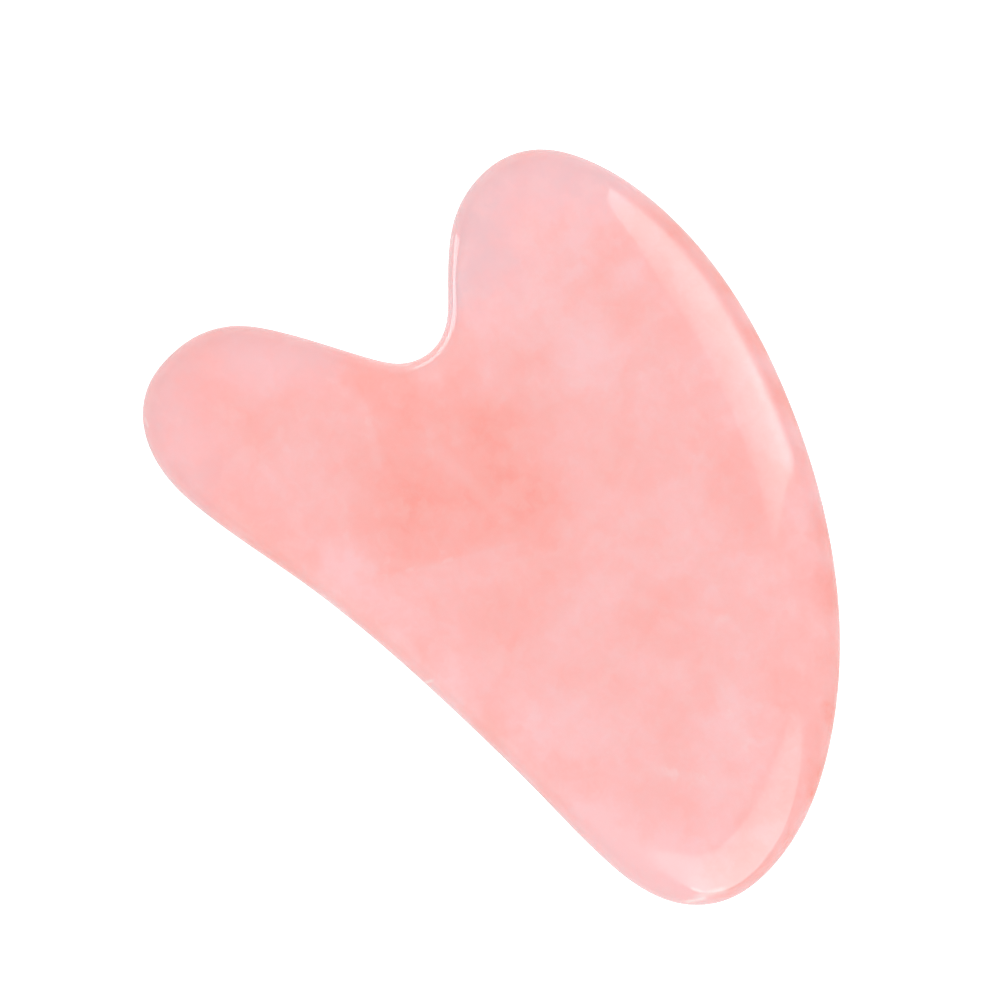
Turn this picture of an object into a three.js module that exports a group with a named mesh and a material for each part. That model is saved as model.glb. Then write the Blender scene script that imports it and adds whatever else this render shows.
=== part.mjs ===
// A gua sha scraper: one flat, heart-shaped piece of polished rose quartz, lying on its face.
//
// Millimetres, +Z up. +X runs along the stone, from its two lobes to its tail, and +Y runs across
// it, from the long hollow side to the round back. The origin is the middle of the outline's box,
// on the lower face.

import * as THREE from "three";

const { lerp, smoothstep } = THREE.MathUtils;

// Driving dimensions
const LENGTH = 80; // along X
const THICKNESS = 7; // of the slab that the stone is cut from
const EDGE_SQUARENESS = 2.4; // 2 makes the edge's section an ellipse, and more makes it boxier

// Facets
const OUTLINE_STEPS = 168;
const EDGE_STEPS = 6; // from the outline to each flat face

// The outline, anticlockwise from the tail. An arc is a round end or the notch: its centre, its
// radius, and where it starts and ends, in degrees from +X. A knot is a point on a long side and
// the direction in which the outline passes it. A cubic joins each of them to the next. The last
// number of each is how far in from the outline the edge is ground away there.
const OUTLINE = [
  arc(30.9, -17.3, 9, -68, -12, 6.3), // tail
  knot(34.2, 0.5, 124, 7),
  knot(9.8, 20.85, 153.5, 7.2), // back
  knot(-12.6, 26.8, 180, 6.6),
  arc(-19.6, 16.9, 8.5, 118, 160, 5.8), // large lobe
  arc(-17.4, 16.5, 10.7, 176, 205, 4),
  knot(-23.7, 7.15, 308.5, 1.6),
  arc(-25.1, 1.15, 4.9, 25, -62, 3), // notch
  arc(-30.2, -17.4, 9.6, 122, 176, 5.2), // small lobe
  arc(-32.1, -18.3, 7.8, 192, 232, 4.8),
  knot(-28.9, -26.85, 0, 3),
  knot(-11.5, -25.35, 3, 1.9), // hollow side
  knot(14.7, -25.8, -3.6, 2),
  knot(28, -26.7, 0, 4.5),
];
const HANDLE = 0.34; // the length of a cubic's handles, as a share of its chord

function radians(degrees) {
  return (degrees * Math.PI) / 180;
}

function direction(angle) {
  return new THREE.Vector2(Math.cos(angle), Math.sin(angle));
}

function knot(x, y, heading, edge) {
  const place = { point: new THREE.Vector2(x, y), heading: radians(heading) };
  return { start: place, end: place, edge, curves: [] };
}

function arc(x, y, radius, from, to, edge) {
  const clockwise = to < from;
  const quarterTurn = clockwise ? -90 : 90;
  const place = (degrees) => ({
    point: new THREE.Vector2(x, y).addScaledVector(direction(radians(degrees)), radius),
    heading: radians(degrees + quarterTurn),
  });
  const curve = new THREE.EllipseCurve(x, y, radius, radius, radians(from), radians(to), clockwise);
  return { start: place(from), end: place(to), edge, curves: [curve] };
}

// The cubic that carries the outline on from one place to the next.
function join(from, to) {
  const reach = HANDLE * from.point.distanceTo(to.point);
  return new THREE.CubicBezierCurve(
    from.point,
    from.point.clone().addScaledVector(direction(from.heading), reach),
    to.point.clone().addScaledVector(direction(to.heading), -reach),
    to.point,
  );
}

// The outline's curves in order, each with the edge's width at its start and at its end.
function outlineRuns() {
  return OUTLINE.flatMap((stretch, i) => {
    const next = OUTLINE[(i + 1) % OUTLINE.length];
    const own = stretch.curves.map((curve) => ({ curve, edges: [stretch.edge, stretch.edge] }));
    const onward = { curve: join(stretch.end, next.start), edges: [stretch.edge, next.edge] };
    return [...own, onward];
  });
}

// Evenly spaced points of the outline and the edge's width at each. The points are centred on the
// origin and scaled to the length.
function outlinePlaces() {
  const runs = outlineRuns();
  const lengths = runs.map(({ curve }) => curve.getLength());
  const spacing = lengths.reduce((sum, length) => sum + length, 0) / OUTLINE_STEPS;
  const points = [];
  const widths = [];
  let run = 0;
  let along = 0;
  for (let step = 0; step < OUTLINE_STEPS; step++) {
    while (along > lengths[run]) {
      along -= lengths[run];
      run += 1;
    }
    const share = along / lengths[run];
    const [before, after] = runs[run].edges;
    points.push(runs[run].curve.getPointAt(share));
    widths.push(lerp(before, after, smoothstep(share, 0, 1)));
    along += spacing;
  }
  const box = new THREE.Box2().setFromPoints(points);
  const centre = box.getCenter(new THREE.Vector2());
  const scale = LENGTH / box.getSize(new THREE.Vector2()).x;
  return { points: points.map((point) => point.sub(centre).multiplyScalar(scale)), widths };
}

// The outward direction at each outline point, square to the line between its two neighbours.
function outwardDirections(points) {
  return points.map((_, i) => {
    const before = points.at(i - 1);
    const after = points[(i + 1) % points.length];
    return new THREE.Vector2(after.y - before.y, before.x - after.x).normalize();
  });
}

// The stone's rings of points, from the lower face round the edge to the upper face. The section
// from the outline to each face is a quarter of a superellipse.
function edgeRings() {
  const { points, widths } = outlinePlaces();
  const outward = outwardDirections(points);
  const middle = THICKNESS / 2;
  const rings = [];
  for (let step = -EDGE_STEPS; step <= EDGE_STEPS; step++) {
    const turn = (Math.abs(step) / EDGE_STEPS) * (Math.PI / 2);
    const inset = 1 - Math.pow(Math.max(Math.cos(turn), 0), 2 / EDGE_SQUARENESS);
    const rise = Math.sign(step) * Math.pow(Math.sin(turn), 2 / EDGE_SQUARENESS);
    const ring = points.map((point, i) => {
      const { x, y } = point.clone().addScaledVector(outward[i], -inset * widths[i]);
      return new THREE.Vector3(x, y, middle + rise * middle);
    });
    rings.push(ring);
  }
  return rings;
}

function stoneGeometry() {
  const rings = edgeRings();
  const faces = [];
  for (let ring = 0; ring < rings.length - 1; ring++) {
    for (let i = 0; i < OUTLINE_STEPS; i++) {
      const low = ring * OUTLINE_STEPS + i;
      const lowNext = ring * OUTLINE_STEPS + ((i + 1) % OUTLINE_STEPS);
      const high = low + OUTLINE_STEPS;
      const highNext = lowNext + OUTLINE_STEPS;
      faces.push(low, lowNext, highNext, low, highNext, high);
    }
  }
  const upper = rings.length - 1;
  const upperStart = upper * OUTLINE_STEPS;
  const border = rings[upper].map(({ x, y }) => new THREE.Vector2(x, y));
  for (const [a, b, c] of THREE.ShapeUtils.triangulateShape(border, [])) {
    faces.push(upperStart + a, upperStart + b, upperStart + c); // upper face
    faces.push(a, c, b); // lower face
  }
  const geometry = new THREE.BufferGeometry().setFromPoints(rings.flat());
  geometry.setIndex(faces);
  geometry.computeVertexNormals();
  return geometry;
}

const roseQuartz = new THREE.MeshStandardMaterial({
  color: 0xf9b2ae,
  roughness: 0.12,
  metalness: 0,
});

const scraperBody = new THREE.Mesh(stoneGeometry(), roseQuartz);
scraperBody.name = "scraper_body";

const guaShaScraper = new THREE.Group();
guaShaScraper.add(scraperBody);

export default guaShaScraper;
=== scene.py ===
import math

import bmesh
import bpy
import numpy as np
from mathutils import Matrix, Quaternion, Vector, noise
from mathutils.geometry import delaunay_2d_cdt


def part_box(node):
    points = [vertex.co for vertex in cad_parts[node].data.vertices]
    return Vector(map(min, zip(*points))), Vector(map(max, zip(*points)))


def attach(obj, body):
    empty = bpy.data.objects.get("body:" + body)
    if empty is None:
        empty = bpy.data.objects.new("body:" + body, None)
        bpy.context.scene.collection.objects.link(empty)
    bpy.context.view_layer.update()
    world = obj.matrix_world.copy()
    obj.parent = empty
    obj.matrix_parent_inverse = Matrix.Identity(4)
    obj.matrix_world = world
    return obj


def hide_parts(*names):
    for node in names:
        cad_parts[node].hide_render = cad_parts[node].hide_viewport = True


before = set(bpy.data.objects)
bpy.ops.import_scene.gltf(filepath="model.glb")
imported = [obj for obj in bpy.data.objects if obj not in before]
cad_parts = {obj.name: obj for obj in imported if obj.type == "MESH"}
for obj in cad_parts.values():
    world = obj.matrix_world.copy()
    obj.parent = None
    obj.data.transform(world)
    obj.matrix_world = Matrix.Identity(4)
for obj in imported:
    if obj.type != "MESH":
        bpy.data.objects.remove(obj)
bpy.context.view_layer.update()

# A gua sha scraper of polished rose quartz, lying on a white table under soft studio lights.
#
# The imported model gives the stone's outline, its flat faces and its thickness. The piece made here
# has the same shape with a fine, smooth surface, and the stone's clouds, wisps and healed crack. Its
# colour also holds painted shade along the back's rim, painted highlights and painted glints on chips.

NODE = "scraper_body"
MM = 0.001

# The stone's surface
AROUND = 800  # points along the outline
EDGE_STEPS = 16  # from the outline to each flat face
EDGE_SQUARENESS = 2.4  # of the superellipse that is the edge's section
OUTLINE_DETAIL = 40  # bumps along the outline that survive the smoothing
FACE_SPACING = 1.5 * MM  # between the points inside a flat face
FACE_MARGIN = 0.9 * MM  # from its border to the first of them
WAVE_DEPTH = 0.035 * MM  # left by polishing the stone by hand
WAVE_LENGTH = 11 * MM
NOISE_PEAK = 0.7  # about the most that mathutils' noise gives
SAME_POINT = 0.001 * MM
SAME_HEIGHT = 0.01 * MM
TRIANGLE_HEIGHT = math.sqrt(0.75)  # of an equilateral triangle, times its side

# The studio, in metres
LIGHT_DISTANCE = 0.5
FLOOR_REACH = 3  # from the stone to the floor's sides
FLOOR_WHITENESS = 0.5
FLOOR_ROUGHNESS = 0.8
FLOOR_GLOW = 0.41
FLOOR_SEEN_GLOW = 0.64  # more of it in the picture itself, so that the table is white there
ROOM_LIGHT = 0.52  # at the horizon
ROOM_SLOPE = (0.056, 0, 0.776)  # the way the light grows, and how fast
HORIZON_GLOW = 0.25
HORIZON_BAND = (0.16, 0.02)  # sines of the elevations where the glow starts and where it is full

# The camera looks straight down
LENS = 150
SENSOR_WIDTH = 36
VIEW_WIDTH = 1.2653  # times the stone's length
VIEW_OFFSET = Vector((-0.0646, -0.0773))  # from the middle of the stone, times its length
VIEW_TURN = 41  # degrees, anticlockwise from +X


def rim_loop(mesh, height):
    """The closed loop of edges at one height where the faces turn away from that height."""

    def at_height(vert):
        return abs(vert.co.z - height) < SAME_HEIGHT

    neighbours = {}
    for edge in mesh.edges:
        if not all(map(at_height, edge.verts)):
            continue
        if all(all(map(at_height, face.verts)) for face in edge.link_faces):
            continue
        for here, there in (edge.verts, reversed(edge.verts)):
            neighbours.setdefault(here, []).append(there)
    loop = [next(iter(neighbours))]
    loop.append(neighbours[loop[0]][0])
    while len(loop) < len(neighbours):
        one, other = neighbours[loop[-1]]
        loop.append(other if one is loop[-2] else one)
    points = np.array([complex(vert.co.x, vert.co.y) for vert in loop])
    area = np.sum((np.conj(points) * np.roll(points, -1)).imag)
    return points if area > 0 else points[::-1]


def resample(loop, count):
    """A closed loop of complex numbers as a smooth curve through count points."""
    series = np.fft.fft(loop) / len(loop)
    waves = np.fft.fftfreq(len(loop), 1 / len(loop))
    series *= np.exp(-((waves / OUTLINE_DETAIL) ** 4))
    turns = np.arange(count) / count
    return np.exp(2j * np.pi * np.outer(turns, waves)) @ series


def stone_loops():
    """The outline, and from each of its points the way in to the border of the flat faces."""
    low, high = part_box(NODE)
    cad = bmesh.new()
    cad.from_mesh(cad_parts[NODE].data)
    bmesh.ops.remove_doubles(cad, verts=cad.verts, dist=SAME_POINT)
    outline = rim_loop(cad, (low.z + high.z) / 2)
    border = rim_loop(cad, high.z)
    cad.free()
    shifts = [np.abs(np.roll(border, shift) - outline).sum() for shift in range(len(border))]
    border = np.roll(border, int(np.argmin(shifts)))
    outline, border = resample(outline, AROUND), resample(border, AROUND)
    return outline, border - outline


def edge_rings(low, high):
    """Rings of points from the lower face, round the edge, to the upper face."""
    outline, inwards = stone_loops()
    middle, half = (low.z + high.z) / 2, (high.z - low.z) / 2
    rings = []
    for step in range(-EDGE_STEPS, EDGE_STEPS + 1):
        turn = abs(step) / EDGE_STEPS * math.pi / 2
        inset = 1 - max(math.cos(turn), 0) ** (2 / EDGE_SQUARENESS)
        rise = math.copysign(math.sin(turn) ** (2 / EDGE_SQUARENESS), step)
        ring = outline + inset * inwards
        rings.append([Vector((p.real, p.imag, middle + rise * half)) for p in ring])
    return rings


def fill_face(mesh, border, facing_up):
    """Fills a ring of vertices with triangles between evenly spread points."""
    flat = [vert.co.xy for vert in border]
    height = border[0].co.z
    count = len(flat)
    low = Vector((min(p.x for p in flat), min(p.y for p in flat)))
    high = Vector((max(p.x for p in flat), max(p.y for p in flat)))
    row_spacing = FACE_SPACING * TRIANGLE_HEIGHT
    rows = int((high.y - low.y) / row_spacing)
    columns = int((high.x - low.x) / FACE_SPACING)
    ring = np.array([complex(*p) for p in flat])
    inner = []
    for row in range(1, rows):
        for column in range(columns + 1):
            x = low.x + (column + 0.5 * (row % 2)) * FACE_SPACING
            y = low.y + row * row_spacing
            if np.abs(ring - complex(x, y)).min() > FACE_MARGIN:
                inner.append(Vector((x, y)))
    sides = [(i, (i + 1) % count) for i in range(count)]
    points, _, faces, sources, _, _ = delaunay_2d_cdt(flat + inner, sides, [], 1, 1e-7)
    verts = []
    for point, source in zip(points, sources):
        on_border = [i for i in source if i < count]
        verts.append(border[on_border[0]] if on_border else mesh.verts.new((*point, height)))
    for face in faces:
        corners = [verts[i] for i in face]
        mesh.faces.new(corners if facing_up else corners[::-1])


def wave(place):
    """How far below its ideal surface the polished stone lies at a place, from 0 to 1."""
    return 0.5 + 0.5 * noise.noise(place / WAVE_LENGTH) / NOISE_PEAK


def make_stone():
    low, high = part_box(NODE)
    mesh = bmesh.new()
    rings = [[mesh.verts.new(p) for p in ring] for ring in edge_rings(low, high)]
    for lower, upper in zip(rings, rings[1:]):
        for i in range(AROUND):
            j = (i + 1) % AROUND
            mesh.faces.new((lower[i], lower[j], upper[j], upper[i]))
    fill_face(mesh, rings[-1], True)
    fill_face(mesh, rings[0], False)
    loose = [vert for vert in mesh.verts if not vert.link_faces]
    bmesh.ops.delete(mesh, geom=loose, context="VERTS")
    mesh.normal_update()
    for vert, normal in [(vert, vert.normal.copy()) for vert in mesh.verts]:
        vert.co -= normal * WAVE_DEPTH * min(max(wave(vert.co), 0), 1)
    data = bpy.data.meshes.new("stone")
    mesh.to_mesh(data)
    mesh.free()
    data.shade_smooth()
    stone = bpy.data.objects.new("stone", data)
    bpy.context.collection.objects.link(stone)
    return stone


class Nodes:
    """A material's node tree. Each method adds a node and returns its output."""

    def __init__(self, material):
        material.use_nodes = True
        self.tree = material.node_tree
        self.tree.nodes.clear()

    def add(self, kind, output=0, settings=None, **inputs):
        node = self.tree.nodes.new(kind)
        for name, value in (settings or {}).items():
            setattr(node, name, value)
        for name, value in inputs.items():
            name = name.replace("_", " ")
            socket = node.inputs[int(name[1:])] if name[1:].isdigit() else node.inputs[name]
            if isinstance(value, bpy.types.NodeSocket):
                self.tree.links.new(value, socket)
            else:
                socket.default_value = value
        return node.outputs[output] if node.outputs else None

    def math(self, operation, a, b=0.0, c=0.0):
        return self.add("ShaderNodeMath", settings={"operation": operation}, i0=a, i1=b, i2=c)

    def vector(self, operation, a, b=(0, 0, 0), output=0):
        return self.add("ShaderNodeVectorMath", output, {"operation": operation}, i0=a, i1=b)

    def scaled(self, vector, factor):
        return self.add("ShaderNodeVectorMath", settings={"operation": "SCALE"}, i0=vector, Scale=factor)

    def product(self, first, *others):
        for other in others:
            first = self.math("MULTIPLY", first, other)
        return first

    def mix(self, factor, a, b):
        settings = {"data_type": "RGBA", "clamp_factor": True}
        return self.add("ShaderNodeMix", 2, settings, i0=factor, i6=a, i7=b)

    def between(self, value, low, high, smooth=True):
        """0 below low and 1 above high, or the other way round where low is the larger."""
        settings = {"interpolation_type": "SMOOTHSTEP" if smooth else "LINEAR"}
        return self.add(
            "ShaderNodeMapRange", settings=settings, Value=value, From_Min=low, From_Max=high
        )

    def noise(self, place, size, detail=2.0, roughness=0.5, output=0):
        """Noise whose features are about size millimetres across."""
        return self.add(
            "ShaderNodeTexNoise",
            output,
            Vector=place,
            Scale=1 / size,
            Detail=detail,
            Roughness=roughness,
        )

    def swirl(self, place, size, detail, roughness=0.5):
        """Noise along each of the three axes, centred on 0."""
        noises = self.noise(place, size, detail, roughness, output=1)
        return self.vector("SUBTRACT", noises, (0.5, 0.5, 0.5))


def colour(red, green, blue):
    return (red, green, blue, 1.0)


# Colours of the quartz, linear
PALE = colour(0.965, 0.566, 0.575)
PINK = colour(0.965, 0.497, 0.483)
SALMON = colour(0.965, 0.36, 0.305)
GREY = colour(0.82, 0.545, 0.57)
MILK = colour(0.965, 0.64, 0.64)
RUST = colour(0.8, 0.3, 0.24)
# The white of the chips, which also serves as painted glints.
CHIP_AND_GLINT_WHITE = colour(0.97, 0.88, 0.86)

# Clouds in the stone, in millimetres from its middle: x, y, radius, and how much warmer the
# stone is there. Less than 0 is paler. Some of them are painted light, as marked below: painted
# shade along the back's rim, and painted highlights.
CLOUDS_AND_PAINTED_LIGHT = [
    (-7, -4, 8, 0.5),
    (-6.5, -4.3, 2.6, 0.55),
    (-3.7, -9.2, 3, 0.55),
    (-10.5, -1, 4, 0.25),
    (-2, -4, 5, 0.4),
    (-11, -12, 8, 0.5),
    (-15, -9, 6, 0.35),
    (-20, -5.5, 5, 0.4),
    (-15, -2.5, 5, 0.45),
    (-10, 4, 5, 0.3),
    (2, 4, 4, 0.2),
    (1.5, 7, 2.5, 0.2),
    (4, -15.5, 5, 0.25),
    (17, -17, 5, -0.25),
    (31.5, -15, 4, -0.3),
    (-22, -12.5, 4, 0.25),
    # Painted light: paler here to lift the shade on the notch's lower wall.
    (-22.3, -3.5, 2.5, -0.5),
    (2.5, -8, 5, 0.35),
    (12.5, 10, 6, 0.35),
    (15, -4.5, 5, 0.25),
    (-8, 16, 4.5, 0.45),
    (-16, 21, 4, -0.3),
    (-9.5, 19, 3.5, -0.5),
    (-4, 20.5, 3.5, 0.4),
    (-29, -17, 4.5, 0.4),
    (-18, -14.5, 5, 0.2),
    (-29, -25, 5, 0.9),
    (-20, -26, 5, 0.4),
    (-8, -25, 4, 0.3),
    (-36, -20, 5, 0.4),
    (-37, -14.5, 5, 0.45),
    (-26, -6.5, 5, 0.45),
    (20.5, 7.5, 4, 0.25),
    (24, -20.5, 3, 0.12),
    (29, 0, 5, 0.3),
    (24, 9, 4, 0.4),
    (33, 2, 3.5, 0.25),
    (36, -3, 5, 0.45),
    (-7.5, 12.5, 6, -0.45),
    (-18, 16.5, 5, -0.5),
    (-21, 24, 6, -0.5),
    (-26, 16, 7, -0.5),
    (-17.5, 9, 5.5, -0.45),
    (-12, -21.5, 4.5, -0.5),
    (-5, -22, 4, -0.25),
    (4, -23, 4, -0.4),
    (13, -21, 5, -0.3),
    (24, -25, 6, -0.35),
    (31, -24, 7, -0.4),
    (23, -17.5, 5, -0.15),
    (28.5, -9, 6, -0.3),
    (-33, -14, 3.5, -0.25),
    (26.5, -6.5, 3, -0.3),
    (13, 2, 6, -0.2),
    (18, -1, 2, -0.25),
    (9.5, 6.5, 3.5, -0.45),
    (8, -6, 6, -0.2),
    (10, -12, 4, -0.15),
    (-10.5, -7.5, 3, -0.5),
    (-35, -25, 4, -0.25),
    # Painted highlight: paler below the highlight round the tail.
    (34, -25, 4.5, -0.5),
    # Painted shade: a darker rim along the back, outside the long highlight.
    (-10, 27.3, 3, 0.6),
    # Painted highlight: these two are paler where the long highlight reaches further in.
    (6.5, 15.3, 3.5, -0.4),
    (17.5, 11.5, 2.5, -0.4),
    # Painted shade that dims the long highlight here.
    (-6, 22.5, 3.5, 0.3),
    # Painted shade: the darker rim along the back, on round to the tail.
    (-4, 26.5, 3, 1.0),
    (2, 24.8, 3, 1.0),
    (8, 22.3, 3, 1.4),
    (14, 19, 3, 1.1),
    (20, 15, 3.5, 0.9),
    (25, 10.5, 3.5, 1.1),
    (30, 5.5, 3, 0.6),
    (34, 1, 3, 1.2),
    (36.5, -2, 2.5, 0.5),
    (37.5, -5, 3, 1.1),
    (39.5, -11, 3, 0.6),
]
# Where the pink is greyed: x, y, radius, strength. The last five, along the back, are painted shade on
# the rim.
GREY_AND_RIM_SHADE = [
    (-28, 17, 6, 0.8),
    (-23, 10.5, 6, 1.1),
    (-22, 6, 4, 0.9),
    (-23, 22, 6, 0.9),
    (-19, 25, 5, 0.6),
    (-29, -7.5, 5, 0.8),
    (-35, -11.5, 6, 0.7),
    (-37, -21, 6, 0.8),
    (-30, -25, 6, 0.8),
    (-17.5, 23.5, 4, 0.4),
    (-39.5, -15.5, 4, 0.5),
    (-25, 15, 4, 0.5),
    # Painted shade: a greyer rim along the back.
    (-1, 24.5, 3.5, 0.4),
    (6, 22, 4, 0.5),
    (13, 19, 4, 0.6),
    (18, 15.5, 4.5, 0.5),
    (24, 10, 4.5, 0.4),
]
# Milky wisps: the two ends, the width, and the strength
WISPS = [
    ((26, -15.5), (32, -12), 0.9, 0.45),
    ((25, -6), (29, -8), 1.2, 0.35),
    ((-21.5, -8.5), (-17.5, -11), 0.7, 0.35),
    ((-13, -6.5), (-3.5, -7.3), 0.8, 0.3),
    ((-9, -18), (-5, -15), 0.7, 0.3),
    ((-25, -8.3), (-19, -7.8), 0.7, 0.25),
    ((16, -3), (19, -1), 0.7, 0.35),
]
# Chips in the edge, given the same way. Their white is partly real chipping and partly painted glints,
# most of all the three at the tail.
CHIPS_AND_GLINTS = [
    ((35.7, -24.2), (36.6, -23.1), 0.25, 0.55),
    ((36.3, -22.8), (37.3, -21.4), 0.45, 0.4),
    ((35.2, -22.9), (35.7, -22.7), 0.2, 0.35),
    ((1.0, -25.4), (1.5, -24.5), 0.2, 0.4),
    ((-37.5, -23.5), (-36.9, -23.8), 0.15, 0.3),
    ((-26.2, 10.6), (-25.8, 10), 0.15, 0.4),
]
# A healed crack, straight through the stone. On one side of it the stone is warmer.
CRACK = ((-8.8, -19.5), (-0.6, -7.4))
CRACK_REACH = 5  # of the warmer side
CRACK_WIDTH = 0.35
CRACK_CORE = 0.05
CRACK_BLUR = 0.3  # of the border between its two sides
CRACK_START = 1.5  # how far beyond each end it begins, and how far inside it is full
CRACK_FULL = 1.0

# How the marks lie in the stone
PATCH_EDGE = 1.25  # where a patch begins, in radii, and where it is full
PATCH_CORE = 0.1
STREAK_EDGE = 1.4  # where a wisp or a chip begins, in widths
DEPTH_SCALE = 0.35  # of the changes downwards, against those sideways
LEAN = (0.8, -0.7, 0)  # of the clouds, for each millimetre of height
BROAD_DRIFT = 1.8  # how far noise moves the edges of the clouds
FINE_DRIFT = 3.0
WISP_DRIFT = 0.9  # the same for the wisps
CHIP_AND_GLINT_DRIFT = 0.4
CHIP_AND_GLINT_FULL = 5.4  # chips fade out from this height down to the next
CHIP_AND_GLINT_FOOT = 3.8
SCRATCH_ALONG = 0.08  # how often a scratch changes along its way, for each millimetre
SCRATCH_DOWN = 0.3

# How strongly each thing shows
GRAIN_WARMTH = 1.1
BASE_WARMTH = -0.22
CRACK_WARMTH = 0.2
CRACK_FLECKS = 0.3
VEIL = 0.16
WISP_BARE = 0.45  # a wisp outside the veil
WISP_VEILED = 0.8  # what the veil adds to it
PALE_SPECKS = 0.5
RUST_SPECKS = 0.35
WORN_PALENESS = 0.12

# Roughness of the polish, and what is added to it
POLISH = 0.025
UNEVEN_POLISH = 0.04
SCRATCH_ROUGHNESS = 0.06
WORN_ROUGHNESS = 0.14

# Heights of the finest marks, times the bump's distance
SCRATCH_HEIGHT = -0.3
PIT_HEIGHT = -1.0
CHIP_HEIGHT = -2.0
BUMP_DISTANCE = 0.004 * MM

SCATTER_RADIUS = (1.0, 0.55, 0.5)  # of light inside the stone, times the scale
SCATTER_SCALE = 4.5 * MM
QUARTZ_IOR = 1.544


def sum_of_patches(nodes, place, patches):
    total = 0.0
    for x, y, radius, strength in patches:
        away = nodes.vector("DISTANCE", place, (x, y, 0), output=1)
        inside = nodes.between(away, radius * PATCH_EDGE, radius * PATCH_CORE)
        total = nodes.math("MULTIPLY_ADD", inside, strength, total)
    return total


def along_and_beside(nodes, place, start, end):
    """How far a place is along the way from start to end, from 0 to its length, and beside it."""
    start, end = Vector((*start, 0)), Vector((*end, 0))
    way = (end - start).normalized()
    offset = nodes.vector("SUBTRACT", place, tuple(start))
    along = nodes.vector("DOT_PRODUCT", offset, tuple(way), output=1)
    beside = nodes.vector("DOT_PRODUCT", offset, (-way.y, way.x, 0), output=1)
    return along, beside, (end - start).length


def streaks(nodes, place, ends):
    """Straight streaks with soft sides, which fade twice as slowly past their ends."""
    total = 0.0
    for start, end, width, strength in ends:
        along, beside, length = along_and_beside(nodes, place, start, end)
        past_start = nodes.math("MINIMUM", along, 0.0)
        past_end = nodes.math("MAXIMUM", nodes.math("SUBTRACT", along, length), 0.0)
        past = nodes.product(nodes.math("ADD", past_start, past_end), 0.5)
        squares = nodes.math("MULTIPLY_ADD", past, past, nodes.math("POWER", beside, 2.0))
        inside = nodes.between(nodes.math("SQRT", squares), width * STREAK_EDGE, 0.0)
        total = nodes.math("MULTIPLY_ADD", inside, strength, total)
    return total


def crack(nodes, place):
    """How much warmer the stone is beside the healed crack, and the light flecks on the crack."""
    along, beside, length = along_and_beside(nodes, place, *CRACK)
    after_start = nodes.between(along, -CRACK_START, CRACK_FULL)
    before_end = nodes.between(along, length + CRACK_START, length - CRACK_FULL)
    within = nodes.product(after_start, before_end)
    away = nodes.math("ABSOLUTE", beside)
    warm_side = nodes.between(beside, -CRACK_BLUR, CRACK_BLUR)
    reach = nodes.between(away, CRACK_REACH, 0.0)
    line = nodes.between(away, CRACK_WIDTH, CRACK_CORE)
    fleck = nodes.between(nodes.noise(place, size=1.6), 0.52, 0.62)
    return nodes.product(warm_side, CRACK_WARMTH, reach, within), nodes.product(line, fleck, within)


def specks(nodes, place, spacing, size, share):
    """Small round specks, in a share of the cells of a given spacing, in millimetres."""
    settings = {"feature": "F1"}
    away = nodes.add("ShaderNodeTexVoronoi", "Distance", settings, Vector=place, Scale=1 / spacing)
    cell = nodes.add("ShaderNodeTexVoronoi", "Color", settings, Vector=place, Scale=1 / spacing)
    pick = nodes.add("ShaderNodeSeparateXYZ", "X", Vector=cell)
    chosen = nodes.math("GREATER_THAN", pick, 1 - share)
    dot = nodes.between(away, size / spacing / 2, size / spacing / 4)
    return nodes.math("MULTIPLY", dot, chosen)


def scratches(nodes, place, turn, spacing):
    """Fine straight marks, all in one direction."""
    turned = nodes.add(
        "ShaderNodeMapping",
        Vector=place,
        Rotation=(0, 0, math.radians(turn)),
        Scale=(SCRATCH_ALONG, 1 / spacing, SCRATCH_DOWN),
    )
    streak = nodes.add("ShaderNodeTexNoise", Vector=turned, Scale=1.0, Detail=3.0, Roughness=0.7)
    return nodes.between(streak, 0.62, 0.7)


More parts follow.
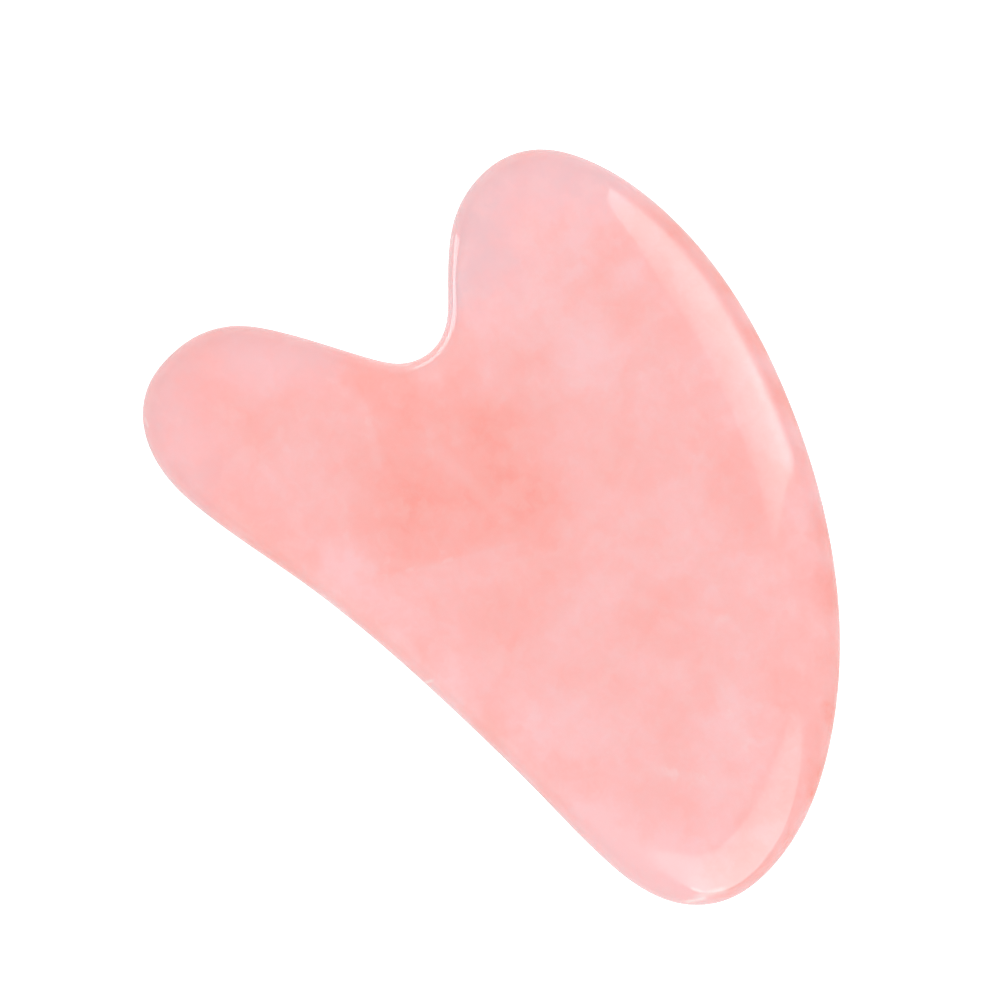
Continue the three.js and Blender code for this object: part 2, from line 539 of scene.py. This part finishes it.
def quartz_tone(nodes, place, top):
    """The quartz's colour with its painted shade and highlights, and where it is chipped, with painted
    glints. top is the height of its upper face.
    """
    height = nodes.add("ShaderNodeSeparateXYZ", "Z", Vector=place)
    upright = nodes.vector("MULTIPLY", place, (1, 1, DEPTH_SCALE))
    below_top = nodes.math("SUBTRACT", height, top)
    leaning = nodes.vector("ADD", upright, nodes.scaled(LEAN, below_top))
    broad = nodes.swirl(place, size=9, detail=1)
    fine = nodes.swirl(place, size=2.2, detail=4, roughness=0.6)
    drift = nodes.vector("ADD", nodes.scaled(broad, BROAD_DRIFT), nodes.scaled(fine, FINE_DRIFT))
    drifted = nodes.vector("ADD", leaning, drift)
    lowered = nodes.vector("ADD", place, (0, 0, (DEPTH_SCALE - 1) * top))
    solid = nodes.vector("ADD", lowered, drift)

    crack_warmth, flecks = crack(nodes, place)
    warmth = sum_of_patches(nodes, drifted, CLOUDS_AND_PAINTED_LIGHT)
    grain = nodes.noise(solid, size=4.5, detail=5, roughness=0.64)
    warmth = nodes.math("MULTIPLY_ADD", grain, GRAIN_WARMTH, warmth)
    warmth = nodes.math("ADD", warmth, crack_warmth)
    warmth = nodes.math("ADD", warmth, BASE_WARMTH)
    tone = nodes.mix(nodes.between(warmth, 0.0, 0.35, False), PALE, PINK)
    tone = nodes.mix(nodes.between(warmth, 0.35, 1.2, False), tone, SALMON)
    tone = nodes.mix(sum_of_patches(nodes, drifted, GREY_AND_RIM_SHADE), tone, GREY)

    veil = nodes.between(nodes.noise(solid, size=3.2, detail=3, roughness=0.55), 0.5, 0.68)
    wisps = streaks(nodes, nodes.vector("ADD", leaning, nodes.scaled(fine, WISP_DRIFT)), WISPS)
    milk = nodes.product(wisps, nodes.math("MULTIPLY_ADD", veil, WISP_VEILED, WISP_BARE))
    milk = nodes.math("MULTIPLY_ADD", veil, VEIL, milk)
    milk = nodes.math("MULTIPLY_ADD", flecks, CRACK_FLECKS, milk)
    pale_specks = specks(nodes, place, spacing=4.5, size=0.5, share=0.3)
    milk = nodes.math("MULTIPLY_ADD", pale_specks, PALE_SPECKS, milk)
    tone = nodes.mix(milk, tone, MILK)

    # Chips painted white, partly as painted glints, only near the upper face.
    chips_and_glints = streaks(nodes, nodes.vector("ADD", upright, nodes.scaled(fine, CHIP_AND_GLINT_DRIFT)), CHIPS_AND_GLINTS)
    chips_and_glints = nodes.product(chips_and_glints, nodes.between(height, CHIP_AND_GLINT_FOOT, CHIP_AND_GLINT_FULL))
    tone = nodes.mix(chips_and_glints, tone, CHIP_AND_GLINT_WHITE)
    rust_specks = specks(nodes, place, spacing=3.7, size=0.35, share=0.12)
    return nodes.mix(nodes.product(rust_specks, RUST_SPECKS), tone, RUST), chips_and_glints


def rose_quartz(top):
    """Polished rose quartz. top is the height of the stone's upper face, in millimetres."""
    material = bpy.data.materials.new("rose_quartz")
    nodes = Nodes(material)
    place = nodes.scaled(nodes.add("ShaderNodeTexCoord", "Object"), 1 / MM)
    tone, chips_and_glints = quartz_tone(nodes, place, top)

    normal = nodes.add("ShaderNodeTexCoord", "Normal")
    facing_up = nodes.math("ABSOLUTE", nodes.add("ShaderNodeSeparateXYZ", "Z", Vector=normal))
    patchy = nodes.between(nodes.noise(place, size=2.5, detail=4, roughness=0.65), 0.5, 0.68)
    worn = nodes.product(nodes.between(facing_up, 0.75, 0.1), patchy)
    marks = [scratches(nodes, place, turn=17, spacing=0.12)]
    marks.append(scratches(nodes, place, turn=74, spacing=0.16))
    marks = nodes.math("MAXIMUM", *marks)
    pits = specks(nodes, place, spacing=0.9, size=0.14, share=0.35)
    tone = nodes.mix(nodes.product(worn, WORN_PALENESS), tone, MILK)

    uneven = nodes.noise(place, size=7, detail=3)
    roughness = nodes.math("MULTIPLY_ADD", uneven, UNEVEN_POLISH, POLISH)
    roughness = nodes.math("MULTIPLY_ADD", marks, SCRATCH_ROUGHNESS, roughness)
    roughness = nodes.math("MULTIPLY_ADD", worn, WORN_ROUGHNESS, roughness)

    relief = nodes.math("MULTIPLY_ADD", marks, SCRATCH_HEIGHT, nodes.product(pits, PIT_HEIGHT))
    relief = nodes.math("MULTIPLY_ADD", worn, nodes.noise(place, size=0.35, detail=3), relief)
    relief = nodes.math("MULTIPLY_ADD", chips_and_glints, CHIP_HEIGHT, relief)
    bump = nodes.add("ShaderNodeBump", Strength=0.25, Distance=BUMP_DISTANCE, Height=relief)

    shader = nodes.add(
        "ShaderNodeBsdfPrincipled",
        Base_Color=tone,
        Roughness=roughness,
        IOR=QUARTZ_IOR,
        Normal=bump,
        Subsurface_Weight=1.0,
        Subsurface_Radius=SCATTER_RADIUS,
        Subsurface_Scale=SCATTER_SCALE,
    )
    nodes.add("ShaderNodeOutputMaterial", Surface=shader)
    return material


def make_camera(low, high):
    data = bpy.data.cameras.new("camera")
    data.lens = LENS
    data.sensor_width = SENSOR_WIDTH
    camera = bpy.data.objects.new("camera", data)
    bpy.context.collection.objects.link(camera)
    length = high.x - low.x
    middle = (low + high) / 2
    distance = VIEW_WIDTH * length * LENS / SENSOR_WIDTH
    camera.location = middle + Vector((*(VIEW_OFFSET * length), distance))
    camera.rotation_euler = (0, 0, math.radians(VIEW_TURN))
    bpy.context.scene.camera = camera


def ramp(nodes, value, stops):
    """A brightness that follows a value from 0 to 1 through stops, each a value and a brightness."""
    node = nodes.tree.nodes.new("ShaderNodeValToRGB")
    nodes.tree.links.new(value, node.inputs["Fac"])
    while len(node.color_ramp.elements) < len(stops):
        node.color_ramp.elements.new(1.0)
    for element, (place, shade) in zip(node.color_ramp.elements, stops):
        element.position = place
        element.color = colour(shade, shade, shade)
    return node.outputs["Color"]


def make_softbox(name, azimuths, elevations, radiance, up, across, lean=0, shape="RECTANGLE"):
    """An upright softbox that the stone sees between two azimuths and two elevations, in degrees.

    It shows only in the stone's polish. up and across are the brightness at places from 0 to 1,
    from bottom to top and from the lower azimuth to the higher. lean turns the softbox in its own
    plane, in degrees.
    """
    around = math.radians(sum(azimuths) / 2)
    half_turn = math.radians(azimuths[1] - azimuths[0]) / 2
    bottom, top = (LIGHT_DISTANCE * math.tan(math.radians(angle)) for angle in elevations)
    data = bpy.data.lights.new(name, "AREA")
    data.shape = shape
    data.size = 2 * LIGHT_DISTANCE * math.tan(half_turn)
    data.size_y = top - bottom
    filled = math.pi / 4 if shape == "ELLIPSE" else 1
    data.energy = radiance * math.pi * data.size * data.size_y * filled
    nodes = Nodes(data)
    place = nodes.add("ShaderNodeTexCoord", "UV")
    height = nodes.add("ShaderNodeSeparateXYZ", "Y", Vector=place)
    side = nodes.add("ShaderNodeSeparateXYZ", "X", Vector=place)
    strength = nodes.math("MULTIPLY", ramp(nodes, height, up), ramp(nodes, side, across))
    emission = nodes.add("ShaderNodeEmission", Strength=strength)
    nodes.add("ShaderNodeOutputLight", Surface=emission)
    light = bpy.data.objects.new(name, data)
    bpy.context.collection.objects.link(light)
    out = Vector((math.cos(around), math.sin(around), 0))
    light.location = out * LIGHT_DISTANCE + Vector((0, 0, (bottom + top) / 2))
    turn = Quaternion((0, 0, 1), math.radians(lean))
    light.rotation_euler = (out.to_track_quat("Z", "Y") @ turn).to_euler()
    light.visible_diffuse = False


def make_strip(name, place, azimuth, width, heights, radiance, in_polish=True):
    """A small upright light beside the stone, in millimetres, that shines towards an azimuth.

    It shows only in the stone's polish, or else only lights the stone.
    """
    bottom, top = heights
    data = bpy.data.lights.new(name, "AREA")
    data.shape = "RECTANGLE"
    data.size = width * MM
    data.size_y = (top - bottom) * MM
    data.energy = radiance * math.pi * data.size * data.size_y
    light = bpy.data.objects.new(name, data)
    bpy.context.collection.objects.link(light)
    light.location = Vector((*place, (bottom + top) / 2)) * MM
    behind = Vector((-math.cos(math.radians(azimuth)), -math.sin(math.radians(azimuth)), 0))
    light.rotation_euler = behind.to_track_quat("Z", "Y").to_euler()
    light.visible_diffuse = not in_polish
    light.visible_glossy = in_polish


def make_world():
    """White to the camera. The stone sees a room that is lighter above and at the horizon."""
    world = bpy.data.worlds.new("studio")
    bpy.context.scene.world = world
    nodes = Nodes(world)
    direction = nodes.add("ShaderNodeTexCoord", "Generated")
    slope = nodes.vector("DOT_PRODUCT", direction, ROOM_SLOPE, output=1)
    rise = nodes.math("ABSOLUTE", nodes.add("ShaderNodeSeparateXYZ", "Z", Vector=direction))
    glow = nodes.between(rise, *HORIZON_BAND)
    light = nodes.math("MULTIPLY_ADD", glow, HORIZON_GLOW, nodes.math("ADD", slope, ROOM_LIGHT))
    seen = nodes.add("ShaderNodeLightPath", "Is Camera Ray")
    strength = nodes.math("MAXIMUM", light, seen)
    background = nodes.add("ShaderNodeBackground", Color=colour(1, 1, 1), Strength=strength)
    nodes.add("ShaderNodeOutputWorld", Surface=background)


def make_floor(low):
    mesh = bmesh.new()
    bmesh.ops.create_grid(mesh, x_segments=1, y_segments=1, size=FLOOR_REACH)
    data = bpy.data.meshes.new("floor")
    mesh.to_mesh(data)
    mesh.free()
    floor = bpy.data.objects.new("floor", data)
    floor.location.z = low.z
    bpy.context.collection.objects.link(floor)
    material = bpy.data.materials.new("floor")
    nodes = Nodes(material)
    seen = nodes.add("ShaderNodeLightPath", "Is Camera Ray")
    shader = nodes.add(
        "ShaderNodeBsdfPrincipled",
        Base_Color=colour(FLOOR_WHITENESS, FLOOR_WHITENESS, FLOOR_WHITENESS),
        Roughness=FLOOR_ROUGHNESS,
        Emission_Color=colour(1, 1, 1),
        Emission_Strength=nodes.math("MULTIPLY_ADD", seen, FLOOR_SEEN_GLOW, FLOOR_GLOW),
    )
    nodes.add("ShaderNodeOutputMaterial", Surface=shader)
    data.materials.append(material)


low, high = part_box(NODE)
make_camera(low, high)
stone = make_stone()
stone.data.materials.append(rose_quartz(high.z / MM))
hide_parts(NODE)
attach(stone, "root")

make_floor(low)
make_world()

# The window makes the long highlight along the back, and the lamp its brightest part. The round
# softbox makes the highlight round the tail, and the strip the thin line beside the notch.
make_softbox(
    "window",
    azimuths=(49.5, 93.5),
    elevations=(26, 81.5),
    radiance=3.2,
    up=((0, 0.1), (0.025, 0.45), (0.05, 1), (0.18, 1), (0.27, 0.82), (0.4, 0.64), (0.7, 0.42), (1, 0.25)),
    across=((0, 1), (0.55, 1), (0.75, 0.85), (1, 1)),
    lean=3,
)
make_softbox(
    "lamp",
    azimuths=(52, 76),
    elevations=(33, 56),
    radiance=1.8,
    up=((0, 0), (0.4, 1), (1, 0)),
    across=((0, 0), (0.35, 1), (0.6, 1), (1, 0)),
)
make_softbox(
    "round_softbox",
    azimuths=(-64, 26),
    elevations=(12, 80),
    radiance=3.3,
    up=((0, 1), (0.3, 0.9), (0.55, 0.65), (1, 0.3)),
    across=((0, 0.1), (0.1, 0.45), (0.25, 1), (0.6, 1), (0.85, 0.65), (1, 0.45)),
    shape="ELLIPSE",
)
make_strip(
    "notch_strip",
    place=(-31, 2.3),
    azimuth=36,
    width=12.5,
    heights=(1.5, 7),
    radiance=3,
)
make_strip(
    "notch_card",
    place=(-27, 2.5),
    azimuth=-38,
    width=4,
    heights=(1, 6),
    radiance=1.6,
    in_polish=False,
)
bpy.context.scene.view_settings.view_transform = "Standard"
